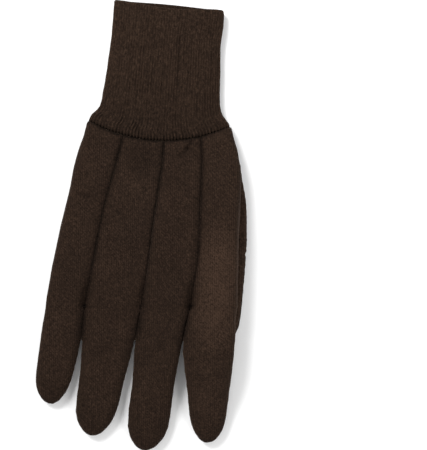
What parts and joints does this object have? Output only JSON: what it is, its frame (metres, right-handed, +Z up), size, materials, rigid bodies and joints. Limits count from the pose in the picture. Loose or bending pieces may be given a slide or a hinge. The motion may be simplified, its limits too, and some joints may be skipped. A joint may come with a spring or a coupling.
{
  "type": "cotton work glove",
  "caption": "Cotton jersey work glove for the right hand, lying palm down, with a folded-under thumb and a long knit wrist.",
  "frame": {"origin": "on the surface that the glove lies on, under the middle of its box", "axes": "+Y from the fingertips to the open end of the knit wrist, +X towards the index finger, +Z up, out of the back of the hand"},
  "size_m": [0.1236, 0.26, 0.0247],
  "materials": {
    "jersey": "dark brown brushed cotton jersey, matt, with a short fuzz",
    "rib_knit": "dark brown cotton rib knit, matt"
  },
  "bodies": {
    "root": {"palm": "jersey", "thumb_front": "jersey", "thumb_back": "jersey", "little_back": "jersey", "ring_back": "jersey", "middle_back": "jersey", "index_back": "jersey", "knit_wrist": "rib_knit"}
  },
  "joints": []
}
